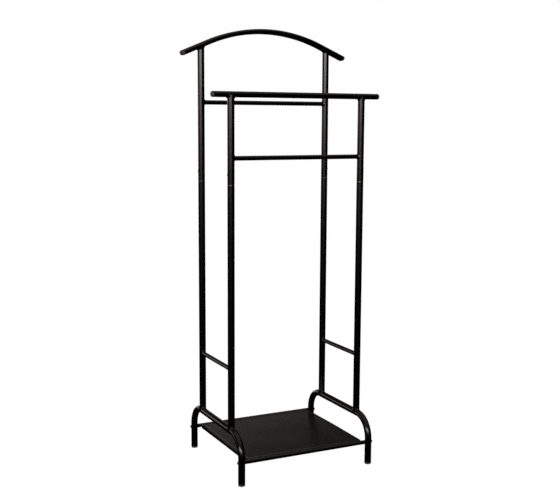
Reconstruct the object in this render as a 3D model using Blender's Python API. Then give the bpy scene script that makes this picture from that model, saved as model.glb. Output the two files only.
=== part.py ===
"""Valet stand: two side frames of bent steel tube, joined by clothes bars and a mesh shelf.

Metres, +Z up. The front faces -Y, the left side is -X, and the four feet rest on Z = 0.
"""

import math

import bmesh
import bpy
from mathutils import Matrix, Vector

# ---------------------------------------------------------------- driving dimensions
SIDE_SPACING = 0.350  # left side frame to right side frame, tube axis to tube axis
LEG_SPACING = 0.304  # front leg to rear leg of one foot bow
UPRIGHT_SPACING = 0.183  # front upright to rear upright

FRAME_TUBE = 0.017  # outer diameter of bows and uprights
FRAME_WALL = 0.0011
BAR_TUBE = 0.014  # the front clothes bar
BAR_WALL = 0.0010
CROSS_TUBE = 0.011  # crossbars and side rungs
CROSS_WALL = 0.0010
RAIL_TUBE = 0.010  # the shelf's rails
RAIL_WALL = 0.0010

BOW_HEIGHT = 0.118  # axis of the bow's level span
BOW_RADIUS = 0.052  # bend of the bow's shoulders, on the axis
SEAM_HEIGHT = 0.711  # where an upper upright stands on a lower one
SEAM_OPENING = 0.0004
FRONT_BAR_HEIGHT = 0.920
FRONT_BAR_OVERHANG = 0.044  # its tube's ends, past the uprights' axes
CRADLE_DROP = 0.002  # how far below the bar's axis the front upright's saddle ends
TROUSER_BAR_HEIGHT = 0.773
REAR_CROSSBAR_HEIGHT = 0.904
RUNG_HEIGHT = 0.270

ARCH_CROWN = 1.082  # axis of the shoulder arch at its middle
ARCH_RADIUS = 0.402
ARCH_HALF_ANGLE = math.radians(22.7)
ARCH_OVERHANG = 0.0463  # its tube's ends, past the uprights' axes
ARCH_WIDTH = 0.025  # the flat-oval tube, front to back
ARCH_THICKNESS = 0.0125
ARCH_WALL = 0.0010

SHELF_RAIL_HEIGHT = 0.058
SHELF_CLEARANCE = 0.0085  # between the shelf tray's sides and the legs
SHELF_SHEET = 0.001
SHELF_RISE = 0.0053  # the tray's top, above the rails' axes
SHELF_FLANGE = 0.0108  # depth of the tray's folded edges, from its top

SPIGOT_LENGTH = 0.070
SPIGOT_WALL = 0.0010
JOINT_SCREW_RISE = 0.024  # above the seam
JOINT_SCREW = {"head": 0.0022, "head_height": 0.0008, "shank": 0.0014, "length": 0.0055, "key": 0.0009}
SHELF_BOLT = {"head": 0.0038, "head_height": 0.0022, "shank": 0.0019, "length": 0.0320, "key": 0.0012}
INSERT_LENGTH = 0.016
INSERT_DEPTH = 0.001  # how far an insert sits inside the mouth of its rail

FOOT_CAP_HEIGHT = 0.006
FOOT_CAP_ROUND = 0.003
END_CAP_HEIGHT = 0.006
END_CAP_ROUND = 0.004
CAP_STEM = 0.014  # how far a cap's stem reaches into its tube

GAP = 0.0003  # between pieces that touch
SLIP = 0.0004  # around a screw in its clearance hole

# ---------------------------------------------------------------- facets
FRAME_SIDES = 20
SMALL_SIDES = 16
CUTTER_SIDES = 32
SCREW_SIDES = 12
BEND_STEPS = 7
ARCH_STEPS = 12
ROUND_STEPS = 3

# ---------------------------------------------------------------- worked out from the above
X_SIDE = SIDE_SPACING / 2
Y_LEG = LEG_SPACING / 2
Y_UPRIGHT = UPRIGHT_SPACING / 2
X_AXIS = Vector((1, 0, 0))
Y_AXIS = Vector((0, 1, 0))
Z_AXIS = Vector((0, 0, 1))
ARCH_BEND = ARCH_RADIUS * ARCH_HALF_ANGLE  # length of the arch's bend, from its crown
ARCH_REACH = ARCH_RADIUS * math.sin(ARCH_HALF_ANGLE)
ARCH_ARM = (X_SIDE + ARCH_OVERHANG - ARCH_REACH) / math.cos(ARCH_HALF_ANGLE)
SIDES = {"left": -1, "right": 1}
ENDS = {"front": -1, "rear": 1}

# Colour, roughness and metallic value of each finish.
FINISHES = {
    "black_paint": ((0.010, 0.009, 0.009), 0.30, 0.0),
    "black_mesh": ((0.022, 0.020, 0.019), 0.48, 0.0),
    "black_plastic": ((0.012, 0.012, 0.013), 0.42, 0.0),
    "black_oxide": ((0.030, 0.029, 0.028), 0.36, 0.9),
    "zinc_steel": ((0.560, 0.560, 0.550), 0.34, 1.0),
}


# ---------------------------------------------------------------- general tools
def clear_scene():
    for item in list(bpy.data.objects):
        bpy.data.objects.remove(item, do_unlink=True)


def part_material(name, finish):
    colour, roughness, metallic = FINISHES[finish]
    material = bpy.data.materials.new(f"{name}_{finish}")
    material.use_nodes = True
    shader = material.node_tree.nodes["Principled BSDF"]
    shader.inputs["Base Color"].default_value = (*colour, 1)
    shader.inputs["Roughness"].default_value = roughness
    shader.inputs["Metallic"].default_value = metallic
    material.diffuse_color = (*colour, 1)
    return material


def add_part(name, mesh, finish, location=(0, 0, 0)):
    """Puts a mesh in the scene as one piece of the stand."""
    part = bpy.data.objects.new(name, mesh)
    bpy.context.collection.objects.link(part)
    part.location = location
    part.parent = STAND
    mesh.materials.append(part_material(name, finish))
    return part


def add_cutter(name, mesh, location=(0, 0, 0)):
    cutter = bpy.data.objects.new(f"cutter_{name}", mesh)
    bpy.context.collection.objects.link(cutter)
    cutter.location = location
    cutter.parent = STAND
    cutter.hide_render = True
    cutter.display_type = "WIRE"
    return cutter


def aim(part, across, along):
    """Turns a part so that its own X lies across and its own Z along the given directions."""
    part.rotation_euler = Matrix((across, along.cross(across), along)).transposed().to_euler()


def cut(part, *cutters):
    for cutter in cutters:
        modifier = part.modifiers.new(cutter.name, "BOOLEAN")
        modifier.operation = "DIFFERENCE"
        modifier.solver = "EXACT"
        modifier.object = cutter


def finish_mesh(name, work):
    """Turns a bmesh into a mesh whose faces point out and whose round faces are smooth."""
    bmesh.ops.recalc_face_normals(work, faces=work.faces)
    mesh = bpy.data.meshes.new(name)
    work.to_mesh(mesh)
    work.free()
    mesh.shade_smooth()
    mesh.set_sharp_from_angle(angle=math.radians(35))
    return mesh


# ---------------------------------------------------------------- sections and sweeps
def oval(width, thickness, sides, inset=0.0):
    """A flat-oval outline, or a circle where its width is its thickness: (across, up) points."""
    radius = thickness / 2 - inset
    flat = (width - thickness) / 2
    outline = []
    for step in range(sides):
        turn = 2 * math.pi * (step + 0.5) / sides
        shift = math.copysign(flat, math.cos(turn))
        outline.append((shift + radius * math.cos(turn), radius * math.sin(turn)))
    return outline


def circle(diameter, sides, inset=0.0):
    return oval(diameter, diameter, sides, inset)


def add_ring(work, outline, centre, tangent, across):
    """Adds an outline's points around a centre, square to the tangent."""
    up = tangent.cross(across).normalized()
    return [work.verts.new(centre + across * a + up * u) for a, u in outline]


def join_rings(work, first, second):
    count = len(first)
    for i in range(count):
        j = (i + 1) % count
        work.faces.new((first[i], first[j], second[j], second[i]))


def sweep(name, path, across, outer, inner=None):
    """Sweeps an outline along (centre, tangent) pairs, as a tube if an inner outline is given."""
    work = bmesh.new()
    skin = [add_ring(work, outer, centre, tangent, across) for centre, tangent in path]
    for first, second in zip(skin, skin[1:]):
        join_rings(work, first, second)
    if inner is None:
        work.faces.new(skin[0])
        work.faces.new(skin[-1])
        return finish_mesh(name, work)
    bore = [add_ring(work, inner, centre, tangent, across) for centre, tangent in path]
    for first, second in zip(bore, bore[1:]):
        join_rings(work, first, second)
    join_rings(work, skin[0], bore[0])
    join_rings(work, skin[-1], bore[-1])
    return finish_mesh(name, work)


def straight_path(start, end):
    tangent = (end - start).normalized()
    return [(start, tangent), (end, tangent)]


def square_to(direction):
    return Y_AXIS if abs(direction.x) > 0.5 else X_AXIS


def straight_tube(name, start, end, diameter, wall, sides):
    """A round tube between two points of the piece's own space."""
    path = straight_path(Vector(start), Vector(end))
    across = square_to(path[0][1])
    return sweep(name, path, across, circle(diameter, sides), circle(diameter, sides, wall))


def rod(name, start, end, diameter, sides=CUTTER_SIDES):
    """A solid round bar between two points, used to cut."""
    path = straight_path(Vector(start), Vector(end))
    return sweep(name, path, square_to(path[0][1]), circle(diameter, sides))


def bow_path(foot_level):
    """The foot bow's axis in the YZ plane: up the front leg, over, and down the rear leg."""
    path = [(Vector((0, -Y_LEG, foot_level)), Z_AXIS)]
    for end in (-1, 1):
        centre = Vector((0, end * (Y_LEG - BOW_RADIUS), BOW_HEIGHT - BOW_RADIUS))
        for step in range(BEND_STEPS + 1):
            turn = math.pi / 2 * step / BEND_STEPS
            if end == 1:
                turn = math.pi / 2 - turn
            spoke = Vector((0, end * math.cos(turn), math.sin(turn)))
            tangent = Vector((0, math.sin(turn), -end * math.cos(turn)))
            path.append((centre + spoke * BOW_RADIUS, tangent))
    path.append((Vector((0, Y_LEG, foot_level)), -Z_AXIS))
    return path


def arch_point(distance):
    """(centre, tangent) of the arch's axis at a distance from its crown, in the XZ plane."""
    side = math.copysign(1, distance)
    turn = min(abs(distance) / ARCH_RADIUS, ARCH_HALF_ANGLE)
    arm = abs(distance) - turn * ARCH_RADIUS
    across = ARCH_RADIUS * math.sin(turn) + arm * math.cos(turn)
    drop = ARCH_RADIUS * (1 - math.cos(turn)) + arm * math.sin(turn)
    tangent = Vector((math.cos(turn), 0, -side * math.sin(turn)))
    return Vector((side * across, 0, -drop)), tangent


def arch_path():
    distances = [ARCH_BEND * (2 * step / ARCH_STEPS - 1) for step in range(ARCH_STEPS + 1)]
    distances = [-ARCH_BEND - ARCH_ARM, *distances, ARCH_BEND + ARCH_ARM]
    return [arch_point(distance) for distance in distances]


# ---------------------------------------------------------------- small pieces
def rounded_end(height, rounding):
    """(inset, rise) pairs of an end with a rounded edge."""
    profile = [(0.0, 0.0), (0.0, height - rounding)]
    for step in range(1, ROUND_STEPS + 1):
        turn = math.pi / 2 * step / ROUND_STEPS
        inset = rounding * (1 - math.cos(turn))
        profile.append((inset, height - rounding + rounding * math.sin(turn)))
    return profile


def cap(name, width, thickness, wall, height, rounding, sides):
    """A plug with its mouth face at the origin: the stem runs along -Z and the head along +Z."""
    stem = wall + GAP
    profile = [(stem + GAP, -CAP_STEM), (stem, -CAP_STEM + 2 * GAP), (stem, GAP)]
    profile += [(inset, GAP + rise) for inset, rise in rounded_end(height - GAP, rounding)]
    work = bmesh.new()
    rings = []
    for inset, level in profile:
        outline = oval(width, thickness, sides, inset)
        rings.append(add_ring(work, outline, Vector((0, 0, level)), Z_AXIS, X_AXIS))
    for first, second in zip(rings, rings[1:]):
        join_rings(work, first, second)
    work.faces.new(rings[0])
    work.faces.new(rings[-1])
    return finish_mesh(name, work)


def hexagon_radius(turn, flat_radius):
    return flat_radius / math.cos((turn % (math.pi / 3)) - math.pi / 6)


def screw(name, sizes):
    """A button-head screw: its head's underside is at the origin, and its shank runs along -Z."""
    head, height, key = sizes["head"], sizes["head_height"], sizes["key"]
    shank = sizes["shank"]
    crown = head * 0.55
    profile = [(shank * 0.8, -sizes["length"]), (shank, -sizes["length"] + shank * 0.3)]
    profile += [(shank, 0.0), (head, 0.0), (head, height * 0.3)]
    profile += [(head * 0.86, height * 0.75), (crown, height)]
    work = bmesh.new()
    turns = [2 * math.pi * step / SCREW_SIDES for step in range(SCREW_SIDES)]
    rings = []
    for radius, level in profile:
        points = [(radius * math.cos(turn), radius * math.sin(turn), level) for turn in turns]
        rings.append([work.verts.new(point) for point in points])
    for level in (height, height * 0.45):
        ring = []
        for turn in turns:
            reach = hexagon_radius(turn, key)
            ring.append(work.verts.new((reach * math.cos(turn), reach * math.sin(turn), level)))
        rings.append(ring)
    for first, second in zip(rings, rings[1:]):
        join_rings(work, first, second)
    work.faces.new(rings[0])
    work.faces.new(rings[-1])
    return finish_mesh(name, work)


def blocks(name, xs, ys, zs, filled):
    """One closed mesh of the filled cells of a box grid."""
    work = bmesh.new()
    points = {}

    def corner(i, j, k):
        if (i, j, k) not in points:
            points[i, j, k] = work.verts.new((xs[i], ys[j], zs[k]))
        return points[i, j, k]

    for cell in filled:
        for axis in range(3):
            for far in (0, 1):
                beyond = list(cell)
                beyond[axis] += 1 if far else -1
                if tuple(beyond) in filled:
                    continue
                loop = []
                for a, b in ((0, 0), (1, 0), (1, 1), (0, 1)):
                    place = list(cell)
                    place[axis] += far
                    place[(axis + 1) % 3] += a
                    place[(axis + 2) % 3] += b
                    loop.append(corner(*place))
                work.faces.new(loop)
    return finish_mesh(name, work)


# ---------------------------------------------------------------- the side frames
def build_foot_bows():
    """The two inverted-U feet, drilled through each leg for the shelf's bolts."""
    path = bow_path(FOOT_CAP_HEIGHT)
    outer = circle(FRAME_TUBE, FRAME_SIDES)
    inner = circle(FRAME_TUBE, FRAME_SIDES, FRAME_WALL)
    hole = 2 * (SHELF_BOLT["shank"] + SLIP)
    drills = []
    for end, y_sign in ENDS.items():
        reach = X_SIDE + FRAME_TUBE
        drill = rod("bolt_drill", (-reach, 0, 0), (reach, 0, 0), hole, SCREW_SIDES)
        drills.append(add_cutter(f"bolt_{end}", drill, (0, y_sign * Y_LEG, SHELF_RAIL_HEIGHT)))
    for side, x_sign in SIDES.items():
        mesh = sweep(f"{side}_foot_bow", path, X_AXIS, outer, inner)
        bow = add_part(f"{side}_foot_bow", mesh, "black_paint", (x_sign * X_SIDE, 0, 0))
        cut(bow, *drills)


def build_foot_caps():
    for side, x_sign in SIDES.items():
        for end, y_sign in ENDS.items():
            name = f"{end}_{side}_foot_cap"
            mesh = cap(name, FRAME_TUBE, FRAME_TUBE, FRAME_WALL, FOOT_CAP_HEIGHT, FOOT_CAP_ROUND, FRAME_SIDES)
            location = (x_sign * X_SIDE, y_sign * Y_LEG, FOOT_CAP_HEIGHT)
            aim(add_part(name, mesh, "black_plastic", location), X_AXIS, -Z_AXIS)


def bow_cutter(side, x_sign):
    """The bow's outside, a gap larger all round, which copes what stands on it."""
    grown = circle(FRAME_TUBE + 2 * GAP, CUTTER_SIDES)
    mesh = sweep("bow_outside", bow_path(FOOT_CAP_HEIGHT), X_AXIS, grown)
    return add_cutter(f"{side}_bow", mesh, (x_sign * X_SIDE, 0, 0))


def build_lower_uprights(bows):
    length = SEAM_HEIGHT - SEAM_OPENING / 2 - BOW_HEIGHT
    for coping, (side, x_sign) in zip(bows, SIDES.items()):
        for end, y_sign in ENDS.items():
            name = f"{end}_{side}_lower_upright"
            mesh = straight_tube(name, (0, 0, 0), (0, 0, length), FRAME_TUBE, FRAME_WALL, FRAME_SIDES)
            location = (x_sign * X_SIDE, y_sign * Y_UPRIGHT, BOW_HEIGHT)
            cut(add_part(name, mesh, "black_paint", location), coping)


def screw_drill(end, y_sign):
    """A drill along X through both sides' joint screws at one end."""
    reach = X_SIDE + FRAME_TUBE
    hole = 2 * (JOINT_SCREW["shank"] + SLIP)
    mesh = rod("screw_drill", (-reach, 0, 0), (reach, 0, 0), hole, SCREW_SIDES)
    location = (0, y_sign * Y_UPRIGHT, SEAM_HEIGHT + JOINT_SCREW_RISE)
    drill = add_cutter(f"screw_{end}", mesh, location)
    # Only the tubes' outer walls are drilled, so the drill is empty between the tubes' axes.
    middle = rod("screw_drill_middle", (-X_SIDE, 0, 0), (X_SIDE, 0, 0), FRAME_TUBE)
    cut(drill, add_cutter(f"screw_middle_{end}", middle, location))
    return drill


def build_upper_uprights(drills):
    foot = SEAM_HEIGHT + SEAM_OPENING / 2
    front_top = FRONT_BAR_HEIGHT - CRADLE_DROP
    reach = X_SIDE + FRAME_TUBE
    front_bar = rod("front_bar_outside", (-reach, 0, 0), (reach, 0, 0), BAR_TUBE + 2 * GAP)
    front_cutter = add_cutter("front_bar", front_bar, (0, -Y_UPRIGHT, FRONT_BAR_HEIGHT))
    grown = oval(ARCH_WIDTH + 2 * GAP, ARCH_THICKNESS + 2 * GAP, CUTTER_SIDES)
    arch_outside = sweep("arch_outside", arch_path(), Y_AXIS, grown)
    rear_cutter = add_cutter("arch", arch_outside, (0, Y_UPRIGHT, ARCH_CROWN))
    rear_top = ARCH_CROWN + arch_drop_at(X_SIDE)
    tops = {"front": (front_top, front_cutter), "rear": (rear_top, rear_cutter)}
    for side, x_sign in SIDES.items():
        for end, y_sign in ENDS.items():
            top, coping = tops[end]
            name = f"{end}_{side}_upper_upright"
            mesh = straight_tube(name, (0, 0, 0), (0, 0, top - foot), FRAME_TUBE, FRAME_WALL, FRAME_SIDES)
            part = add_part(name, mesh, "black_paint", (x_sign * X_SIDE, y_sign * Y_UPRIGHT, foot))
            cut(part, coping, drills[end])


def arch_drop_at(x):
    """Height of the arch's axis at x, measured from its crown, so it is negative."""
    if x <= ARCH_REACH:
        return math.sqrt(ARCH_RADIUS**2 - x**2) - ARCH_RADIUS
    bend_drop = ARCH_RADIUS * (1 - math.cos(ARCH_HALF_ANGLE))
    return -bend_drop - (x - ARCH_REACH) * math.tan(ARCH_HALF_ANGLE)


def build_joints(drills):
    """A spigot inside each upright's seam, and the screw that locks it to the upper tube."""
    diameter = FRAME_TUBE - 2 * FRAME_WALL - 2 * GAP
    for side, x_sign in SIDES.items():
        for end, y_sign in ENDS.items():
            name = f"{end}_{side}_spigot"
            half = SPIGOT_LENGTH / 2
            mesh = straight_tube(name, (0, 0, -half), (0, 0, half), diameter, SPIGOT_WALL, SMALL_SIDES)
            location = (x_sign * X_SIDE, y_sign * Y_UPRIGHT, SEAM_HEIGHT)
            cut(add_part(name, mesh, "zinc_steel", location), drills[end])
            name = f"{end}_{side}_joint_screw"
            seat = x_sign * (X_SIDE + FRAME_TUBE / 2 + GAP)
            location = (seat, y_sign * Y_UPRIGHT, SEAM_HEIGHT + JOINT_SCREW_RISE)
            part = add_part(name, screw(name, JOINT_SCREW), "black_oxide", location)
            aim(part, Y_AXIS, x_sign * X_AXIS)


def upright_cutters():
    """The four uprights' outsides, a gap larger all round, which cope the bars between them."""
    cutters = {}
    top = ARCH_CROWN - BOW_HEIGHT
    for side, x_sign in SIDES.items():
        for end, y_sign in ENDS.items():
            mesh = rod("upright_outside", (0, 0, 0), (0, 0, top), FRAME_TUBE + 2 * GAP)
            location = (x_sign * X_SIDE, y_sign * Y_UPRIGHT, BOW_HEIGHT)
            cutters[end, side] = add_cutter(f"{end}_{side}_upright", mesh, location)
    return cutters


def build_side_rungs(cutters):
    for side, x_sign in SIDES.items():
        name = f"{side}_side_rung"
        ends = (0, -Y_UPRIGHT, 0), (0, Y_UPRIGHT, 0)
        mesh = straight_tube(name, *ends, CROSS_TUBE, CROSS_WALL, SMALL_SIDES)
        part = add_part(name, mesh, "black_paint", (x_sign * X_SIDE, 0, RUNG_HEIGHT))
        cut(part, cutters["front", side], cutters["rear", side])


# ---------------------------------------------------------------- the bars
def build_crossbars(cutters):
    """The rear crossbar and the front trouser bar, welded between the uprights."""
    levels = {"rear_crossbar": ("rear", REAR_CROSSBAR_HEIGHT), "trouser_bar": ("front", TROUSER_BAR_HEIGHT)}
    for name, (end, level) in levels.items():
        ends = (-X_SIDE, 0, 0), (X_SIDE, 0, 0)
        mesh = straight_tube(name, *ends, CROSS_TUBE, CROSS_WALL, SMALL_SIDES)
        part = add_part(name, mesh, "black_paint", (0, ENDS[end] * Y_UPRIGHT, level))
        cut(part, cutters[end, "left"], cutters[end, "right"])


def build_front_bar():
    half = X_SIDE + FRONT_BAR_OVERHANG
    mesh = straight_tube("front_bar", (-half, 0, 0), (half, 0, 0), BAR_TUBE, BAR_WALL, FRAME_SIDES)
    add_part("front_bar", mesh, "black_paint", (0, -Y_UPRIGHT, FRONT_BAR_HEIGHT))
    for side, x_sign in SIDES.items():
        name = f"{side}_front_bar_cap"
        mesh = cap(name, BAR_TUBE, BAR_TUBE, BAR_WALL, END_CAP_HEIGHT, END_CAP_ROUND, FRAME_SIDES)
        location = (x_sign * half, -Y_UPRIGHT, FRONT_BAR_HEIGHT)
        aim(add_part(name, mesh, "black_plastic", location), Y_AXIS, x_sign * X_AXIS)


def build_shoulder_arch():
    outer = oval(ARCH_WIDTH, ARCH_THICKNESS, FRAME_SIDES)
    inner = oval(ARCH_WIDTH, ARCH_THICKNESS, FRAME_SIDES, ARCH_WALL)
    mesh = sweep("shoulder_arch", arch_path(), Y_AXIS, outer, inner)
    add_part("shoulder_arch", mesh, "black_paint", (0, Y_UPRIGHT, ARCH_CROWN))
    for side, x_sign in SIDES.items():
        end, outward = arch_point(x_sign * (ARCH_BEND + ARCH_ARM))
        name = f"{side}_arch_cap"
        mesh = cap(name, ARCH_WIDTH, ARCH_THICKNESS, ARCH_WALL, END_CAP_HEIGHT, END_CAP_ROUND, FRAME_SIDES)
        location = (end.x, Y_UPRIGHT, ARCH_CROWN + end.z)
        aim(add_part(name, mesh, "black_plastic", location), Y_AXIS, x_sign * outward)


# ---------------------------------------------------------------- the shelf
def build_shelf_rails(bows):
    for end, y_sign in ENDS.items():
        name = f"{end}_shelf_rail"
        ends = (-X_SIDE, 0, 0), (X_SIDE, 0, 0)
        mesh = straight_tube(name, *ends, RAIL_TUBE, RAIL_WALL, SMALL_SIDES)
        part = add_part(name, mesh, "black_paint", (0, y_sign * Y_LEG, SHELF_RAIL_HEIGHT))
        cut(part, *bows)


def build_shelf_fasteners():
    """A threaded insert in each rail end, and the bolt that comes through the leg into it."""
    insert_mouth = X_SIDE - FRAME_TUBE / 2 - GAP - INSERT_DEPTH
    diameter = RAIL_TUBE - 2 * RAIL_WALL - 2 * GAP
    wall = diameter / 2 - SHELF_BOLT["shank"] - GAP
    for side, x_sign in SIDES.items():
        for end, y_sign in ENDS.items():
            name = f"{end}_{side}_rail_insert"
            ends = (0, 0, 0), (-x_sign * INSERT_LENGTH, 0, 0)
            mesh = straight_tube(name, *ends, diameter, wall, SCREW_SIDES)
            location = (x_sign * insert_mouth, y_sign * Y_LEG, SHELF_RAIL_HEIGHT)
            add_part(name, mesh, "zinc_steel", location)
            name = f"{end}_{side}_shelf_bolt"
            seat = x_sign * (X_SIDE + FRAME_TUBE / 2 + GAP)
            location = (seat, y_sign * Y_LEG, SHELF_RAIL_HEIGHT)
            part = add_part(name, screw(name, SHELF_BOLT), "black_oxide", location)
            aim(part, Y_AXIS, x_sign * X_AXIS)


def build_shelf_mesh():
    """The mesh tray: a sheet between the rails, with all four edges folded down."""
    half_width = X_SIDE - FRAME_TUBE / 2 - SHELF_CLEARANCE
    half_depth = Y_LEG - RAIL_TUBE / 2 - GAP
    top = SHELF_RAIL_HEIGHT + SHELF_RISE
    xs = (-half_width, -half_width + SHELF_SHEET, half_width - SHELF_SHEET, half_width)
    ys = (-half_depth, -half_depth + SHELF_SHEET, half_depth - SHELF_SHEET, half_depth)
    zs = (top - SHELF_FLANGE, top - SHELF_SHEET, top)
    sheet = {(i, j, 1) for i in range(3) for j in range(3)}
    folds = {(i, j, 0) for i in range(3) for j in range(3) if (i, j) != (1, 1)}
    add_part("shelf_mesh", blocks("shelf_mesh", xs, ys, zs, sheet | folds), "black_mesh")


# ---------------------------------------------------------------- the stand
clear_scene()
STAND = bpy.data.objects.new("valet_stand", None)
bpy.context.collection.objects.link(STAND)

build_foot_bows()
build_foot_caps()
bow_outsides = [bow_cutter(side, x_sign) for side, x_sign in SIDES.items()]
build_lower_uprights(bow_outsides)
seam_drills = {end: screw_drill(end, y_sign) for end, y_sign in ENDS.items()}
build_upper_uprights(seam_drills)
build_joints(seam_drills)
upright_outsides = upright_cutters()
build_side_rungs(upright_outsides)
build_crossbars(upright_outsides)
build_front_bar()
build_shoulder_arch()
build_shelf_rails(bow_outsides)
build_shelf_fasteners()
build_shelf_mesh()
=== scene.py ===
import math

import bmesh
import bpy
from mathutils import Matrix, Vector, noise


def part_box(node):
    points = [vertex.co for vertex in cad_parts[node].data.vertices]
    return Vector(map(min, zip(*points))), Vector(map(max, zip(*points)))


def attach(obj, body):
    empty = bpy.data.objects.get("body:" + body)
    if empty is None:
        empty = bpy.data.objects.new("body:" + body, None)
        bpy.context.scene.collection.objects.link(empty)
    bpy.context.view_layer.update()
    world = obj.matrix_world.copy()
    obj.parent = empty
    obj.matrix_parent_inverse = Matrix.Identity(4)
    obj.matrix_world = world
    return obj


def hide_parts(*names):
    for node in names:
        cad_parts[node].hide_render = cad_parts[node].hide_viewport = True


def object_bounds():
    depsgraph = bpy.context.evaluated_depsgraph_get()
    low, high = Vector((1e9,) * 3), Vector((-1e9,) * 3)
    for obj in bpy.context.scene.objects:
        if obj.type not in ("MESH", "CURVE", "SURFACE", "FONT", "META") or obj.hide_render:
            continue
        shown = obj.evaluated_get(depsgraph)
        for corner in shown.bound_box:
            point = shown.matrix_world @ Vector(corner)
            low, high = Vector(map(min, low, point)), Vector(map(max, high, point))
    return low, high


# Valet stand: the finished pieces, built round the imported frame. Metres, +Z up, the front faces -Y.
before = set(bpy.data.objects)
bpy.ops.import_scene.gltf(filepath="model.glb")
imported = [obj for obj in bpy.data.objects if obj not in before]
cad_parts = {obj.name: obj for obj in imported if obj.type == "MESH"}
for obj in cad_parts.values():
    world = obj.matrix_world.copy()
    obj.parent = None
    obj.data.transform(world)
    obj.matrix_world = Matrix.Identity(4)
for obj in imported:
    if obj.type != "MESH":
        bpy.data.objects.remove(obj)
cad_low, cad_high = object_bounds()

# ---------------------------------------------------------------- sizes of the stock
FRAME_RADIUS = 0.0085  # bows and uprights
FRAME_WALL = 0.0011
BAR_RADIUS = 0.0070  # the front clothes bar
CROSS_RADIUS = 0.0055  # crossbars and side rungs
RAIL_RADIUS = 0.0050  # the shelf's rails
THIN_WALL = 0.0010  # of the bars, rungs, rails and arch
BOW_RADIUS = 0.052  # bend of the bow's shoulders, on the axis
ARCH_RADIUS = 0.402
ARCH_HALF_ANGLE = math.radians(22.7)
ARCH_OVERHANG = 0.0463  # its tube's ends, past the uprights' axes
ARCH_WIDTH = 0.025  # the flat-oval tube, front to back
ARCH_THICKNESS = 0.0125
CRADLE_DROP = 0.002  # how far below the front bar's axis its saddles end
GAP = 0.0003  # between pieces that touch
MOUTH_ROUND = 0.0004  # rounding of a sawn and tumbled tube end
JOINT_SCREW = {"head": 0.0022, "height": 0.0008, "shank": 0.0014, "length": 0.0055, "key": 0.0009}
SHELF_BOLT = {"head": 0.0038, "height": 0.0022, "shank": 0.0019, "length": 0.0320, "key": 0.0012}
SLIP = 0.0004  # around a screw in its clearance hole
DRILL_REACH = 0.012  # how far a drill runs past a tube's axis
WELD_STEP = 0.00055  # along a bead, between its cross-sections
WELD_RIPPLE = 0.0021  # along a bead, between its ripples
WELD_STEPS = 7  # across a bead's face
WELD_FILL = 0.30  # how far a bead's face is filled out from hollow to flat
WELD_CROWN = 0.00035  # how proud its ripples stand
WELD_ROOT = 0.0012  # how deep a bead reaches into its corner
WELD_TUCK = 0.0005  # how far its edges are tucked under the paint
WELD_LEG_BOW = 0.0036  # leg length of the beads, by joint
WELD_LEG_BAR = 0.0042
WELD_LEG_ARCH = 0.0032
WELD_LEG_CROSS = 0.0026
CAP_BORE = 0.018  # depth of the open ends that take a cap
SEAM_BORE = 0.040  # depth of the open ends that take a spigot
COLLAR = 0.024  # from a coped end's mark to the ring where its plain tube starts
BACK_BORE = 0.004  # from that ring back to the end's bore
INSERT_ROOM = 0.008  # how far a rail's bore runs on past that ring, for its insert

FRAME_SIDES = 48
SMALL_SIDES = 40
BEND_STEPS = 26
ARCH_STEPS = 44
CAD_FACET = math.cos(math.pi / 20)  # the frame's own tubes have twenty flat sides

X_AXIS = Vector((1, 0, 0))
Y_AXIS = Vector((0, 1, 0))
Z_AXIS = Vector((0, 0, 1))
SIDES = {"left": -1, "right": 1}
ENDS = {"front": -1, "rear": 1}


# ---------------------------------------------------------------- places, read from the frame
def middle(node):
    low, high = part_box(node)
    return (low + high) / 2


X_SIDE = middle("front_right_lower_upright").x
Y_UPRIGHT = middle("rear_right_lower_upright").y
Y_LEG = middle("rear_right_foot_cap").y
BOW_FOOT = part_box("left_foot_bow")[0].z
BOW_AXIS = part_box("left_foot_bow")[1].z - FRAME_RADIUS * CAD_FACET
SEAM_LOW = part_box("front_left_lower_upright")[1].z
SEAM_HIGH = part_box("front_left_upper_upright")[0].z
RUNG_LEVEL = middle("left_side_rung").z
TROUSER_LEVEL = middle("trouser_bar").z
CROSSBAR_LEVEL = middle("rear_crossbar").z
FRONT_BAR_LEVEL = middle("front_bar").z
FRONT_BAR_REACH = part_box("front_bar")[1].x
RAIL_LEVEL = middle("front_shelf_rail").z
ARCH_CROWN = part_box("shoulder_arch")[1].z - ARCH_THICKNESS / 2 * CAD_FACET
ARCH_BEND = ARCH_RADIUS * ARCH_HALF_ANGLE
ARCH_REACH = ARCH_RADIUS * math.sin(ARCH_HALF_ANGLE)
ARCH_ARM = (X_SIDE + ARCH_OVERHANG - ARCH_REACH) / math.cos(ARCH_HALF_ANGLE)


# ---------------------------------------------------------------- node tools
def add_node(tree, kind, **settings):
    """A node with its own settings, and values given as name=value for its input sockets."""
    values = settings.pop("values", {})
    made = tree.nodes.new(kind)
    for key, value in settings.items():
        setattr(made, key, value)
    for key, value in values.items():
        made.inputs[key].default_value = value
    return made


def math_node(tree, operation, first, second=None, clamp=False):
    made = add_node(tree, "ShaderNodeMath", operation=operation, use_clamp=clamp)
    for socket, value in zip(made.inputs, (first, second)):
        if isinstance(value, bpy.types.NodeSocket):
            tree.links.new(value, socket)
        elif value is not None:
            socket.default_value = value
    return made.outputs[0]


def ramp(tree, value, low, high, to_low=0.0, to_high=1.0):
    """Value from low..high brought to to_low..to_high along a smooth curve."""
    made = add_node(tree, "ShaderNodeMapRange", interpolation_type="SMOOTHSTEP")
    tree.links.new(value, made.inputs["Value"])
    for key, number in zip(("From Min", "From Max", "To Min", "To Max"), (low, high, to_low, to_high)):
        if isinstance(number, bpy.types.NodeSocket):
            tree.links.new(number, made.inputs[key])
        else:
            made.inputs[key].default_value = number
    return made.outputs["Result"]


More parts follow.
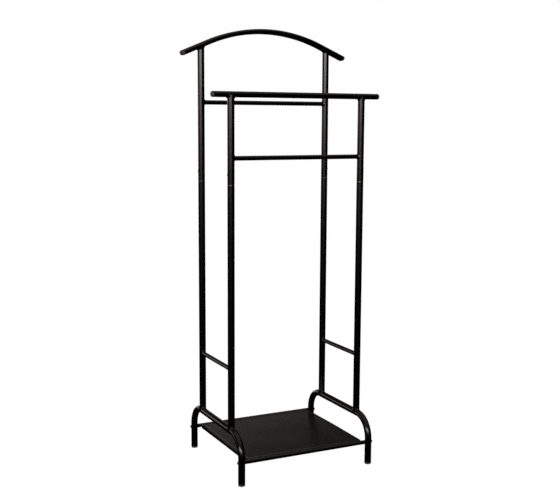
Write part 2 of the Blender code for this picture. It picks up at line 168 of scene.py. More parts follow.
def cloud(tree, place, scale, detail=3.0, roughness=0.5):
    """Soft noise at a scale per metre, from 0 to 1."""
    made = add_node(tree, "ShaderNodeTexNoise", values={"Detail": detail, "Roughness": roughness})
    tree.links.new(place, made.inputs["Vector"])
    if isinstance(scale, bpy.types.NodeSocket):
        tree.links.new(scale, made.inputs["Scale"])
    else:
        made.inputs["Scale"].default_value = scale
    return made.outputs["Fac"]


def new_group(name, inputs, outputs):
    """An empty shader group, as (tree, its input sockets, its output sockets)."""
    tree = bpy.data.node_groups.new(name, "ShaderNodeTree")
    for key, value in inputs.items():
        made = tree.interface.new_socket(name=key, in_out="INPUT", socket_type="NodeSocketFloat")
        made.default_value = value
    for key in outputs:
        tree.interface.new_socket(name=key, in_out="OUTPUT", socket_type="NodeSocketFloat")
    return tree, tree.nodes.new("NodeGroupInput").outputs, tree.nodes.new("NodeGroupOutput").inputs


def stand_place(tree):
    return add_node(tree, "ShaderNodeTexCoord").outputs["Object"]


# ---------------------------------------------------------------- shared surface effects
def orange_peel_group():
    """The skin of sprayed and baked paint: shallow dimples with a finer ripple over them."""
    tree, given, wanted = new_group("orange_peel", {"Scale": 620.0, "Fineness": 3.2}, ["Height"])
    place = stand_place(tree)
    dimples = add_node(tree, "ShaderNodeTexVoronoi", feature="SMOOTH_F1", values={"Smoothness": 0.9})
    tree.links.new(place, dimples.inputs["Vector"])
    tree.links.new(given["Scale"], dimples.inputs["Scale"])
    fine_scale = math_node(tree, "MULTIPLY", given["Scale"], given["Fineness"])
    ripple = math_node(tree, "MULTIPLY", cloud(tree, place, fine_scale, 2.0), 0.35)
    tree.links.new(math_node(tree, "ADD", dimples.outputs["Distance"], ripple), wanted["Height"])
    return tree


def handling_group():
    """Roughness that drifts along a piece, with the faint polish and smears of handling."""
    tree, given, wanted = new_group("handling", {"Roughness": 0.3, "Spread": 0.06}, ["Roughness"])
    place = stand_place(tree)
    stretched = add_node(tree, "ShaderNodeVectorMath", operation="MULTIPLY")
    stretched.inputs[1].default_value = (1.0, 1.0, 0.35)
    tree.links.new(place, stretched.inputs[0])
    drift = cloud(tree, stretched.outputs[0], 14.0, 4.0)
    smears = cloud(tree, stretched.outputs[0], 130.0, 5.0, 0.65)
    drift_share = math_node(tree, "MULTIPLY", drift, 0.6)
    smear_share = math_node(tree, "MULTIPLY", smears, 0.4)
    mixed = math_node(tree, "ADD", drift_share, smear_share)
    centred = math_node(tree, "SUBTRACT", mixed, 0.5)
    shift = math_node(tree, "MULTIPLY", centred, math_node(tree, "MULTIPLY", given["Spread"], 2.0))
    tree.links.new(math_node(tree, "ADD", given["Roughness"], shift), wanted["Roughness"])
    return tree


def rim_wear_and_highlight_group():
    """Where an edge or a mouth has been rubbed, with a painted highlight along the rims: the piece's own
    rim value, broken up by noise.
    """
    tree, given, wanted = new_group("rim_wear_and_highlight", {"Amount": 0.6, "Grain": 900.0}, ["Mask"])
    rim = add_node(tree, "ShaderNodeAttribute", attribute_name="rim", attribute_type="GEOMETRY")
    broken = ramp(tree, cloud(tree, stand_place(tree), given["Grain"], 4.0, 0.6), 0.36, 0.62)
    kept = math_node(tree, "MULTIPLY", rim.outputs["Fac"], broken)
    tree.links.new(math_node(tree, "MULTIPLY", kept, given["Amount"], clamp=True), wanted["Mask"])
    return tree


def dust_group():
    """Fine dust on whatever faces up, thicker in patches."""
    tree, given, wanted = new_group("fine_dust", {"Amount": 0.1, "Grain": 2600.0}, ["Mask"])
    parts = add_node(tree, "ShaderNodeSeparateXYZ")
    tree.links.new(add_node(tree, "ShaderNodeNewGeometry").outputs["Normal"], parts.inputs[0])
    upward = ramp(tree, parts.outputs["Z"], 0.25, 0.95)
    place = stand_place(tree)
    specks = ramp(tree, cloud(tree, place, given["Grain"], 2.0, 0.7), 0.50, 0.72)
    patches = ramp(tree, cloud(tree, place, 24.0, 4.0), 0.35, 0.70, 0.25, 1.0)
    lying = math_node(tree, "MULTIPLY", math_node(tree, "MULTIPLY", upward, patches), specks)
    tree.links.new(math_node(tree, "MULTIPLY", lying, given["Amount"], clamp=True), wanted["Mask"])
    return tree


GROUPS = {
    "orange_peel": orange_peel_group(),
    "handling": handling_group(),
    "rim_wear_and_highlight": rim_wear_and_highlight_group(),
    "fine_dust": dust_group(),
}


def use_group(tree, name, **values):
    made = add_node(tree, "ShaderNodeGroup", node_tree=GROUPS[name])
    for key, value in values.items():
        made.inputs[key].default_value = value
    return made.outputs[0]


def tint(tree, mask, under, over):
    """The colour under, turning to the colour over where the mask is 1. Under may be a socket."""
    made = add_node(tree, "ShaderNodeMix", data_type="RGBA")
    tree.links.new(mask, made.inputs["Factor"])
    for socket, colour in ((made.inputs[6], under), (made.inputs[7], over)):
        if isinstance(colour, bpy.types.NodeSocket):
            tree.links.new(colour, socket)
        else:
            socket.default_value = (*colour, 1.0)
    return made.outputs[2]


def new_material(name, **constants):
    """A material with its Principled shader, whose steady values are set on its own sockets."""
    material = bpy.data.materials.new(name)
    material.use_nodes = True
    shader = material.node_tree.nodes["Principled BSDF"]
    for key, value in constants.items():
        shader.inputs[key.replace("_", " ")].default_value = value
    return material, material.node_tree, shader


def bump(tree, shader, height, strength, distance):
    made = add_node(tree, "ShaderNodeBump", values={"Strength": strength, "Distance": distance})
    tree.links.new(height, made.inputs["Height"])
    tree.links.new(made.outputs["Normal"], shader.inputs["Normal"])


# ---------------------------------------------------------------- finishes
def black_paint_material():
    """Satin black baked paint on the tubes and their welds."""
    material, tree, shader = new_material("black_paint", IOR=1.5)
    tone = cloud(tree, stand_place(tree), 9.0, 4.0)
    colour = tint(tree, tone, (0.0004, 0.0003, 0.0003), (0.0009, 0.0007, 0.0007))
    # lighter rims: rubbed paint, and a painted highlight ring at the tube mouths and seams
    colour = tint(tree, use_group(tree, "rim_wear_and_highlight", Amount=0.5), colour, (0.008, 0.007, 0.007))
    colour = tint(tree, use_group(tree, "fine_dust", Amount=0.03), colour, (0.10, 0.09, 0.08))
    tree.links.new(colour, shader.inputs["Base Color"])
    tree.links.new(use_group(tree, "handling", Roughness=0.20, Spread=0.015), shader.inputs["Roughness"])
    bump(tree, shader, use_group(tree, "orange_peel", Scale=620.0), 0.015, 0.00006)
    return material


def mesh_paint_material():
    """The shelf's thinner, duller black coat."""
    material, tree, shader = new_material("mesh_paint", IOR=1.5)
    tone = cloud(tree, stand_place(tree), 30.0, 5.0)
    colour = tint(tree, tone, (0.0014, 0.0012, 0.0010), (0.0026, 0.0021, 0.0019))
    # lighter rims: rubbed paint, and a painted highlight along the hem and the hole edges
    colour = tint(tree, use_group(tree, "rim_wear_and_highlight", Amount=0.35), colour, (0.010, 0.009, 0.008))
    dusty = use_group(tree, "fine_dust", Amount=0.05, Grain=1800.0)
    colour = tint(tree, dusty, colour, (0.08, 0.075, 0.07))
    tree.links.new(colour, shader.inputs["Base Color"])
    tree.links.new(use_group(tree, "handling", Roughness=0.30, Spread=0.06), shader.inputs["Roughness"])
    bump(tree, shader, use_group(tree, "orange_peel", Scale=900.0), 0.30, 0.00005)
    return material


def cap_plastic_material():
    """Moulded polyethylene caps with a fine spark-eroded grain."""
    material, tree, shader = new_material("cap_plastic", IOR=1.5)
    place = stand_place(tree)
    tone = cloud(tree, place, 60.0, 4.0)
    colour = tint(tree, tone, (0.040, 0.036, 0.036), (0.056, 0.051, 0.050))
    # lighter rims: rubbed plastic, and a painted highlight on the head's edge and the lip at the mouth
    colour = tint(tree, use_group(tree, "rim_wear_and_highlight", Amount=0.45), colour, (0.090, 0.084, 0.082))
    colour = tint(tree, use_group(tree, "fine_dust", Amount=0.06), colour, (0.10, 0.09, 0.08))
    tree.links.new(colour, shader.inputs["Base Color"])
    tree.links.new(use_group(tree, "handling", Roughness=0.58, Spread=0.08), shader.inputs["Roughness"])
    grain = add_node(tree, "ShaderNodeTexVoronoi", feature="DISTANCE_TO_EDGE", values={"Scale": 2400.0})
    tree.links.new(place, grain.inputs["Vector"])
    cells = ramp(tree, grain.outputs["Distance"], 0.0, 0.25)
    pits = math_node(tree, "ADD", cells, cloud(tree, place, 5200.0, 3.0))
    bump(tree, shader, pits, 0.35, 0.00004)
    return material


def screw_black_material():
    """Black-oxide steel: dark, oily, with bare metal showing on the rubbed edges."""
    material, tree, shader = new_material("screw_black", IOR=1.5)
    place = stand_place(tree)
    tone = cloud(tree, place, 420.0, 5.0, 0.6)
    rubbed = use_group(tree, "rim_wear_and_highlight", Amount=0.7, Grain=1600.0)
    colour = tint(tree, tone, (0.012, 0.011, 0.011), (0.026, 0.024, 0.024))
    tree.links.new(tint(tree, rubbed, colour, (0.26, 0.25, 0.24)), shader.inputs["Base Color"])
    tree.links.new(ramp(tree, rubbed, 0.0, 1.0, 0.55, 1.0), shader.inputs["Metallic"])
    tree.links.new(use_group(tree, "handling", Roughness=0.36, Spread=0.10), shader.inputs["Roughness"])
    bump(tree, shader, cloud(tree, place, 3800.0, 3.0, 0.6), 0.25, 0.00003)
    return material


def zinc_steel_material():
    """Bright zinc plate on the hidden spigots and inserts, clouded and drawn lengthways."""
    material, tree, shader = new_material("zinc_steel", Metallic=1.0)
    place = stand_place(tree)
    drawn = add_node(tree, "ShaderNodeVectorMath", operation="MULTIPLY")
    drawn.inputs[1].default_value = (1.0, 1.0, 0.06)
    tree.links.new(place, drawn.inputs[0])
    lines = cloud(tree, drawn.outputs[0], 3000.0, 3.0, 0.6)
    clouds = cloud(tree, place, 180.0, 4.0)
    colour = tint(tree, clouds, (0.46, 0.46, 0.45), (0.62, 0.62, 0.60))
    colour = tint(tree, use_group(tree, "fine_dust", Amount=0.10), colour, (0.20, 0.19, 0.18))
    tree.links.new(colour, shader.inputs["Base Color"])
    tree.links.new(ramp(tree, lines, 0.2, 0.8, 0.26, 0.44), shader.inputs["Roughness"])
    bump(tree, shader, lines, 0.25, 0.00003)
    return material


FINISHES = {
    "frame_paint": black_paint_material(),
    "shelf_mesh": mesh_paint_material(),
    "cap_plastic": cap_plastic_material(),
    "screw_black": screw_black_material(),
    "zinc_steel": zinc_steel_material(),
}


# ---------------------------------------------------------------- mesh tools
def add_ring(work, points, rim=0.0):
    """A ring of points, each marked with how much of a rim it is."""
    layer = work.verts.layers.float.get("rim") or work.verts.layers.float.new("rim")
    ring = []
    for point in points:
        vert = work.verts.new(point)
        vert[layer] = rim
        ring.append(vert)
    return ring


def join_rings(work, first, second, closed=True):
    count = len(first)
    for i in range(count if closed else count - 1):
        j = (i + 1) % count
        corners = []
        for vert in (first[i], first[j], second[j], second[i]):
            if vert not in corners:
                corners.append(vert)
        if len(corners) > 2:
            work.faces.new(corners)


def join_all(work, rings, end_faces=True):
    for first, second in zip(rings, rings[1:]):
        join_rings(work, first, second)
    if end_faces:
        work.faces.new(rings[0])
        work.faces.new(rings[-1])


def add_piece(name, work, slot, *nodes, sharp=32):
    """Puts a finished mesh in the scene as a piece that stands for the given nodes."""
    bmesh.ops.recalc_face_normals(work, faces=work.faces)
    mesh = bpy.data.meshes.new(name)
    work.to_mesh(mesh)
    work.free()
    mesh.shade_smooth()
    mesh.set_sharp_from_angle(angle=math.radians(sharp))
    mesh.materials.append(FINISHES[slot])
    piece = bpy.data.objects.new(name, mesh)
    bpy.context.scene.collection.objects.link(piece)
    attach(piece, "root")
    if nodes:
        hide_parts(*nodes)
    return piece


def oval(width, thickness, sides, inset=0.0):
    """A flat-oval outline, or a circle where its width is its thickness: (across, up) points."""
    radius = thickness / 2 - inset
    flat = (width - thickness) / 2
    outline = []
    for step in range(sides):
        turn = 2 * math.pi * (step + 0.5) / sides
        shift = math.copysign(flat, math.cos(turn))
        outline.append((shift + radius * math.cos(turn), radius * math.sin(turn)))
    return outline


def place_outline(outline, centre, tangent, across):
    up = tangent.cross(across).normalized()
    return [centre + across * a + up * u for a, u in outline]


def mouth_profile(wall, bore):
    """(inset, depth, rim) from the bottom of an open end's bore, over its mouth, to the outside."""
    diagonal = MOUTH_ROUND * (1 - math.sqrt(0.5))
    return [
        (wall, bore, 0.0),
        (wall, MOUTH_ROUND / 2, 0.2),
        (wall - MOUTH_ROUND / 5, 0.0, 0.5),
        (MOUTH_ROUND, 0.0, 0.6),
        (diagonal, diagonal, 0.6),
        (0.0, MOUTH_ROUND, 0.4),
        (0.0, 3 * MOUTH_ROUND, 0.0),
    ]


def drill(piece, start, end, radius):
    """Drills a round hole through a piece from start to end."""
    work = bmesh.new()
    along = (end - start).normalized()
    across = Y_AXIS if abs(along.x) > 0.5 else X_AXIS
    outline = oval(2 * radius, 2 * radius, 28)
    join_all(work, [add_ring(work, place_outline(outline, point, along, across)) for point in (start, end)])
    bmesh.ops.recalc_face_normals(work, faces=work.faces)
    mesh = bpy.data.meshes.new("drill")
    work.to_mesh(mesh)
    work.free()
    cutter = bpy.data.objects.new("drill", mesh)
    bpy.context.scene.collection.objects.link(cutter)
    modifier = piece.modifiers.new("drill", "BOOLEAN")
    modifier.operation = "DIFFERENCE"
    modifier.solver = "EXACT"
    modifier.object = cutter
    bpy.context.view_layer.update()
    shaped = piece.evaluated_get(bpy.context.evaluated_depsgraph_get())
    cut_mesh = bpy.data.meshes.new_from_object(shaped)
    piece.modifiers.clear()
    old = piece.data
    piece.data = cut_mesh
    cut_mesh.name = old.name
    bpy.data.meshes.remove(old)
    bpy.data.objects.remove(cutter)
    bpy.data.meshes.remove(mesh)


# ---------------------------------------------------------------- skins that a tube is coped to
def round_skin(centre, along, radius):
    """How far a point is outside an endless round tube."""
    def distance(point):
        off = point - centre
        return (off - along * off.dot(along)).length - radius
    return distance


def oval_skin(centre, along, across):
    """How far a point is outside the arch's flat-oval tube."""
    up = along.cross(across)

    def distance(point):
        off = point - centre
        beside = max(abs(off.dot(across)) - (ARCH_WIDTH - ARCH_THICKNESS) / 2, 0.0)
        return math.hypot(beside, off.dot(up)) - ARCH_THICKNESS / 2
    return distance


def bow_skin(x):
    """How far a point is outside a foot bow whose legs are at x."""
    def distance(point):
        y = abs(point.y) - (Y_LEG - BOW_RADIUS)
        z = point.z - (BOW_AXIS - BOW_RADIUS)
        if z < 0:
            beside = y - BOW_RADIUS
        elif y < 0:
            beside = z - BOW_RADIUS
        else:
            beside = math.hypot(y, z) - BOW_RADIUS
        return math.hypot(point.x - x, beside) - FRAME_RADIUS
    return distance


def meet(skin, origin, toward, limit):
    """How far a line runs before it meets the skin, and at most the limit."""
    near, far = 0.0, limit
    if skin(origin + toward * limit) > 0:
        return limit
    for _ in range(26):
        half = (near + far) / 2
        if skin(origin + toward * half) > 0:
            near = half
        else:
            far = half
    return far


def slope(skin, point):
    step = 1e-6
    axes = (X_AXIS, Y_AXIS, Z_AXIS)
    rise = [skin(point + axis * step) - skin(point - axis * step) for axis in axes]
    return Vector(rise).normalized()


def onto(skin, point):
    for _ in range(4):
        point = point - slope(skin, point) * skin(point)
    return point


# ---------------------------------------------------------------- tubes
def welded_end(skin, floor=0.0, clear=0.0, bore=BACK_BORE):
    """An end coped to a skin. Floor is how far short of the axis the cope stops."""
    return {"skin": skin, "floor": floor, "bore": bore, "clear": clear}


def open_end(bore):
    return {"skin": None, "bore": bore}


def straight_tube(name, node, start, end, radius, wall, sides, ends):
    """A straight round tube. Each end is open, or coped to the skin of the tube that it meets."""
    length = (end - start).length
    along = (end - start) / length
    across = Y_AXIS if abs(along.x) > 0.5 else X_AXIS
    up = along.cross(across)
    spokes = []
    for step in range(sides):
        turn = 2 * math.pi * (step + 0.5) / sides
        spokes.append(across * math.cos(turn) + up * math.sin(turn))
    work = bmesh.new()
    halves = []
    for sign, corner, end_shape in ((1, start, ends[0]), (-1, end, ends[1])):
        inward = along * sign
        rings = []
        if end_shape["skin"] is None:
            for inset, depth, rim in mouth_profile(wall, end_shape["bore"]):
                points = [corner + inward * depth + spoke * (radius - inset) for spoke in spokes]
                rings.append(add_ring(work, points, rim))
        else:
            bore_depth = COLLAR - end_shape["bore"]
            inner = [corner + inward * bore_depth + spoke * (radius - wall) for spoke in spokes]
            rings.append(add_ring(work, inner))
            for inset in (wall, 0.0):
                points = []
                for spoke in spokes:
                    origin = corner + inward * COLLAR + spoke * (radius - inset)
                    run = meet(end_shape["skin"], origin, -inward, COLLAR - end_shape["floor"])
                    points.append(origin - inward * (run - end_shape["clear"]))
                rings.append(add_ring(work, points))
            points = [corner + inward * COLLAR + spoke * radius for spoke in spokes]
            rings.append(add_ring(work, points))
        halves.append(rings)
    join_all(work, halves[0] + halves[1][::-1])
    return add_piece(name, work, "frame_paint", node)


def swept_tube(name, node, path, across, width, thickness, wall, bore):
    """A bent tube along (centre, tangent) pairs, open at both ends."""
    work = bmesh.new()
    rings = []
    start, tangent = path[0]
    for inset, depth, rim in mouth_profile(wall, bore):
        outline = oval(width, thickness, FRAME_SIDES, inset)
        points = place_outline(outline, start + tangent * depth, tangent, across)
        rings.append(add_ring(work, points, rim))
    outline = oval(width, thickness, FRAME_SIDES)
    for centre, tangent in path[1:-1]:
        rings.append(add_ring(work, place_outline(outline, centre, tangent, across)))
    end, tangent = path[-1]
    for inset, depth, rim in reversed(mouth_profile(wall, bore)):
        outline = oval(width, thickness, FRAME_SIDES, inset)
        points = place_outline(outline, end - tangent * depth, tangent, across)
        rings.append(add_ring(work, points, rim))
    join_all(work, rings)
    return add_piece(name, work, "frame_paint", node)


def weld(name, skin, root, outward, radius, leg, floor=0.0):
    """The bead round a coped joint: a fillet from the branch tube to the skin that it stands on."""
    across = Y_AXIS if abs(outward.x) > 0.5 else X_AXIS
    up = outward.cross(across)
    girth = 2 * math.pi * radius
    count = max(72, int(girth / WELD_STEP))
    ripples = round(girth / WELD_RIPPLE)
    work = bmesh.new()
    sections = []
    for step in range(count):
        turn = 2 * math.pi * step / count
        spoke = across * math.cos(turn) + up * math.sin(turn)
        origin = root + outward * COLLAR + spoke * radius
        branch_corner = origin - outward * meet(skin, origin, -outward, COLLAR - floor)
        skin_corner = onto(skin, branch_corner)
        normal = slope(skin, skin_corner)
        away = spoke - normal * spoke.dot(normal)
        back = -outward + normal * outward.dot(normal)
        away = (away + back * 0.45).normalized()
        size = leg * (1 + 0.16 * noise.noise((spoke + root * 9) * 1.7))
        start = branch_corner + outward * size
        end = onto(skin, skin_corner + away * size)
        end_normal = slope(skin, end)
        corner = (branch_corner + skin_corner) / 2
        proud = (spoke + normal).normalized()
        section = [corner - proud * WELD_ROOT, start - spoke * WELD_TUCK]
        for face_step in range(WELD_STEPS + 1):
            t = face_step / WELD_STEPS
            curve = start * (1 - t) ** 2 + corner * 2 * t * (1 - t) + end * t * t
            point = curve.lerp(start.lerp(end, t), WELD_FILL)
            swell = math.sin(math.pi * t)
            lift = WELD_CROWN * (1 + 0.30 * math.cos(ripples * turn - 1.6 * abs(t - 0.5)))
            section.append(point + proud * lift * swell)
        section.append(end - end_normal * WELD_TUCK)
        sections.append(add_ring(work, section))
    for i in range(count):
        join_rings(work, sections[i], sections[(i + 1) % count])
    return add_piece(name, work, "frame_paint")


# ---------------------------------------------------------------- the side frames
def bow_path():
    """The foot bow's axis in the YZ plane: up the front leg, over, and down the rear leg."""
    lower = BOW_AXIS - BOW_RADIUS
    path = [(Vector((0, -Y_LEG, BOW_FOOT)), Z_AXIS)]
    for level in (RAIL_LEVEL - 0.005, RAIL_LEVEL + 0.005):
        path.append((Vector((0, -Y_LEG, level)), Z_AXIS))
    for end in (-1, 1):
        centre = Vector((0, end * (Y_LEG - BOW_RADIUS), lower))
        for step in range(BEND_STEPS + 1):
            turn = math.pi / 2 * step / BEND_STEPS
            if end == 1:
                turn = math.pi / 2 - turn
            spoke = Vector((0, end * math.cos(turn), math.sin(turn)))
            path.append((centre + spoke * BOW_RADIUS, Vector((0, math.sin(turn), -end * math.cos(turn)))))
    for level in (RAIL_LEVEL + 0.005, RAIL_LEVEL - 0.005, BOW_FOOT):
        path.append((Vector((0, Y_LEG, level)), -Z_AXIS))
    return path


def build_foot_bows():
    bolt_hole = SHELF_BOLT["shank"] + SLIP
    for side, x_sign in SIDES.items():
        x = x_sign * X_SIDE
        path = [(centre + X_AXIS * x, tangent) for centre, tangent in bow_path()]
        node = f"{side}_foot_bow"
        size = 2 * FRAME_RADIUS
        bow = swept_tube(f"{node}_tube", node, path, X_AXIS, size, size, FRAME_WALL, CAP_BORE)
        for y_sign in ENDS.values():
            centre = Vector((x, y_sign * Y_LEG, RAIL_LEVEL))
            drill(bow, centre - X_AXIS * DRILL_REACH, centre + X_AXIS * DRILL_REACH, bolt_hole)


def build_uprights():
    screw_hole = JOINT_SCREW["shank"] + SLIP
    front_skin = round_skin(Vector((0, -Y_UPRIGHT, FRONT_BAR_LEVEL)), X_AXIS, BAR_RADIUS)
    for side, x_sign in SIDES.items():
        x = x_sign * X_SIDE
        for end, y_sign in ENDS.items():
            y = y_sign * Y_UPRIGHT
            node = f"{end}_{side}_lower_upright"
            root, top = Vector((x, y, BOW_AXIS)), Vector((x, y, SEAM_LOW))
            shape = welded_end(bow_skin(x)), open_end(SEAM_BORE)
            straight_tube(f"{node}_tube", node, root, top, FRAME_RADIUS, FRAME_WALL, FRAME_SIDES, shape)
            weld(f"{node}_weld", bow_skin(x), root, Z_AXIS, FRAME_RADIUS, WELD_LEG_BOW)

            node = f"{end}_{side}_upper_upright"
            foot = Vector((x, y, SEAM_HIGH))
            if end == "front":
                top, skin = Vector((x, y, FRONT_BAR_LEVEL)), front_skin
                floor, leg = CRADLE_DROP, WELD_LEG_BAR
            else:
                top, tangent = arch_point(x_sign * arch_distance(X_SIDE))
                skin = oval_skin(top, tangent, Y_AXIS)
                floor, leg = 0.0, WELD_LEG_ARCH
            shape = open_end(SEAM_BORE), welded_end(skin, floor)
            tube = straight_tube(
                f"{node}_tube", node, foot, top, FRAME_RADIUS, FRAME_WALL, FRAME_SIDES, shape
            )
            weld(f"{node}_weld", skin, top, -Z_AXIS, FRAME_RADIUS, leg, floor)
            level = middle(f"{end}_{side}_joint_screw").z
            axis = Vector((x, y, level))
            drill(tube, axis, axis + X_AXIS * x_sign * DRILL_REACH, screw_hole)


# ---------------------------------------------------------------- bars and rungs
def build_cross_tube(node, start, end):
    """A thin tube welded between two uprights."""
    along = (end - start).normalized()
    skins = [round_skin(point, Z_AXIS, FRAME_RADIUS) for point in (start, end)]
    shape = [welded_end(skin) for skin in skins]
    straight_tube(f"{node}_tube", node, start, end, CROSS_RADIUS, THIN_WALL, SMALL_SIDES, shape)
    weld(f"{node}_first_weld", skins[0], start, along, CROSS_RADIUS, WELD_LEG_CROSS)
    weld(f"{node}_last_weld", skins[1], end, -along, CROSS_RADIUS, WELD_LEG_CROSS)


def build_bars():
    for side, x_sign in SIDES.items():
        start = Vector((x_sign * X_SIDE, -Y_UPRIGHT, RUNG_LEVEL))
        end = Vector((x_sign * X_SIDE, Y_UPRIGHT, RUNG_LEVEL))
        build_cross_tube(f"{side}_side_rung", start, end)
    crossbars = {
        "trouser_bar": (-Y_UPRIGHT, TROUSER_LEVEL),
        "rear_crossbar": (Y_UPRIGHT, CROSSBAR_LEVEL),
    }
    for node, (y, level) in crossbars.items():
        build_cross_tube(node, Vector((-X_SIDE, y, level)), Vector((X_SIDE, y, level)))
    ends = [Vector((x_sign * FRONT_BAR_REACH, -Y_UPRIGHT, FRONT_BAR_LEVEL)) for x_sign in (-1, 1)]
    shape = open_end(CAP_BORE), open_end(CAP_BORE)
    straight_tube("front_bar_tube", "front_bar", *ends, BAR_RADIUS, THIN_WALL, SMALL_SIDES, shape)


def arch_distance(x):
    """Length along the arch's axis from its crown to the given distance across."""
    if x <= ARCH_REACH:
        return ARCH_RADIUS * math.asin(x / ARCH_RADIUS)
    return ARCH_BEND + (x - ARCH_REACH) / math.cos(ARCH_HALF_ANGLE)


def arch_point(distance):
    """(centre, tangent) of the arch's axis at a distance along it from its crown."""
    side = math.copysign(1, distance)
    turn = min(abs(distance) / ARCH_RADIUS, ARCH_HALF_ANGLE)
    arm = abs(distance) - turn * ARCH_RADIUS
    across = ARCH_RADIUS * math.sin(turn) + arm * math.cos(turn)
    drop = ARCH_RADIUS * (1 - math.cos(turn)) + arm * math.sin(turn)
    tangent = Vector((math.cos(turn), 0, -side * math.sin(turn)))
    return Vector((side * across, Y_UPRIGHT, ARCH_CROWN - drop)), tangent


def build_shoulder_arch():
    distances = [ARCH_BEND * (2 * step / ARCH_STEPS - 1) for step in range(ARCH_STEPS + 1)]
    distances = [-ARCH_BEND - ARCH_ARM, *distances, ARCH_BEND + ARCH_ARM]
    path = [arch_point(distance) for distance in distances]
    swept_tube(
        "shoulder_arch_tube", "shoulder_arch", path, Y_AXIS,
        ARCH_WIDTH, ARCH_THICKNESS, THIN_WALL, CAP_BORE,
    )


# ---------------------------------------------------------------- caps
CAP_STEM = 0.0140  # how far a cap's stem reaches into its tube
CAP_RINGS = (0.0115, 0.0085, 0.0055)  # depths of the stem's sealing rings
CAP_GROOVE = 0.0005  # between those rings
CAP_DOME = 0.0003  # rise of the head's middle
CAP_STEPS = 9
FOOT_CAP_ROUND = 0.0028
BAR_CAP_ROUND = 0.0044
ARCH_CAP_ROUND = 0.0042
END_CAP_HEIGHT = 0.006


def build_cap(node, mouth, outward, across, width, thickness, wall, head, rounding):
    """A moulded plug: a stem with sealing rings inside the tube, and a rounded head outside."""
    stem = wall + GAP
    profile = [(stem + 0.0008, -CAP_STEM, 0.0), (stem + 0.0001, -CAP_STEM + 0.0008, 0.0)]
    for ring in CAP_RINGS:
        profile.append((stem, -ring, 0.0))
        profile.append((stem + CAP_GROOVE, -ring + 0.0010, 0.0))
        profile.append((stem + CAP_GROOVE, -ring + 0.0018, 0.0))
    profile += [(stem, -0.0020, 0.0), (stem, GAP, 0.0), (0.0002, GAP, 0.5), (0.0, GAP + 0.0002, 0.8)]
    for step in range(CAP_STEPS + 1):
        turn = math.pi / 2 * step / CAP_STEPS
        level = head - rounding + rounding * math.sin(turn) - CAP_DOME * step / CAP_STEPS
        rim = 0.25 if step < 3 else 0.0
        profile.append((rounding * (1 - math.cos(turn)), level, rim))
    rest = thickness / 2 - rounding
    for share, rise in ((0.35, 0.00015), (0.70, 0.00026), (0.92, CAP_DOME)):
        profile.append((rounding + rest * share, head - CAP_DOME + rise, 0.0))
    work = bmesh.new()
    rings = []
    for inset, level, rim in profile:
        outline = oval(width, thickness, SMALL_SIDES, inset)
        rings.append(add_ring(work, place_outline(outline, mouth + outward * level, outward, across), rim))
    join_all(work, rings)
    return add_piece(f"{node}_moulding", work, "cap_plastic", node)


def build_caps():
    size = 2 * FRAME_RADIUS
    for side, x_sign in SIDES.items():
        for end, y_sign in ENDS.items():
            mouth = Vector((x_sign * X_SIDE, y_sign * Y_LEG, BOW_FOOT))
            build_cap(
                f"{end}_{side}_foot_cap", mouth, -Z_AXIS, X_AXIS,
                size, size, FRAME_WALL, BOW_FOOT, FOOT_CAP_ROUND,
            )
        mouth = Vector((x_sign * FRONT_BAR_REACH, -Y_UPRIGHT, FRONT_BAR_LEVEL))
        bar_size = 2 * BAR_RADIUS
        build_cap(
            f"{side}_front_bar_cap", mouth, x_sign * X_AXIS, Y_AXIS,
            bar_size, bar_size, THIN_WALL, END_CAP_HEIGHT, BAR_CAP_ROUND,
        )
        mouth, tangent = arch_point(x_sign * (ARCH_BEND + ARCH_ARM))
        build_cap(
            f"{side}_arch_cap", mouth, x_sign * tangent, Y_AXIS,
            ARCH_WIDTH, ARCH_THICKNESS, THIN_WALL, END_CAP_HEIGHT, ARCH_CAP_ROUND,
        )


# ---------------------------------------------------------------- screws
SCREW_SIDES = 48
SCREW_EDGE = 0.0002  # rounding of a head's edges
HEAD_SKIRT = 0.22  # height of the head's straight edge, as a share of the head's
HEAD_STEPS = 5
HEAD_TURN = math.pi / 2 * 0.82  # how far the head's curve turns before its socket


def hexagon_reach(turn, flat):
    return flat / math.cos((turn % (math.pi / 3)) - math.pi / 6)


def build_screw(node, seat, outward, head, height, shank, length, key):
    """A button-head screw with a hexagon socket. Its head's underside is at the seat."""
    profile = [(shank * 0.75, -length, 0.0), (shank, -length + shank * 0.35, 0.0)]
    profile += [(shank, -SCREW_EDGE, 0.0), (head - SCREW_EDGE, 0.0, 0.3), (head, SCREW_EDGE, 0.9)]
    profile.append((head, height * HEAD_SKIRT, 1.0))
    socket_edge = key * 1.35
    full_rise = math.sin(HEAD_TURN)
    for step in range(1, HEAD_STEPS + 1):
        turn = HEAD_TURN * step / HEAD_STEPS
        radius = socket_edge + (head - socket_edge) * math.cos(turn)
        level = height * (HEAD_SKIRT + (1 - HEAD_SKIRT) * math.sin(turn) / full_rise)
        profile.append((radius, level, 0.35))
    across = Y_AXIS
    up = outward.cross(across)
    turns = [2 * math.pi * step / SCREW_SIDES for step in range(SCREW_SIDES)]

    def place_ring(reach_at, level):
        centre = seat + outward * level
        return [centre + across * reach_at(t) * math.cos(t) + up * reach_at(t) * math.sin(t) for t in turns]

    work = bmesh.new()
    rings = []
    for radius, level, rim in profile:
        rings.append(add_ring(work, place_ring(lambda t: radius, level), rim))
    socket = ((SCREW_EDGE, height, 0.9), (0.0, height - SCREW_EDGE, 0.6), (0.0, height * 0.40, 0.0))
    for widen, level, rim in socket:
        flat = key + widen
        rings.append(add_ring(work, place_ring(lambda t: hexagon_reach(t, flat), level), rim))
    join_all(work, rings)
    return add_piece(f"{node}_steel", work, "screw_black", node)


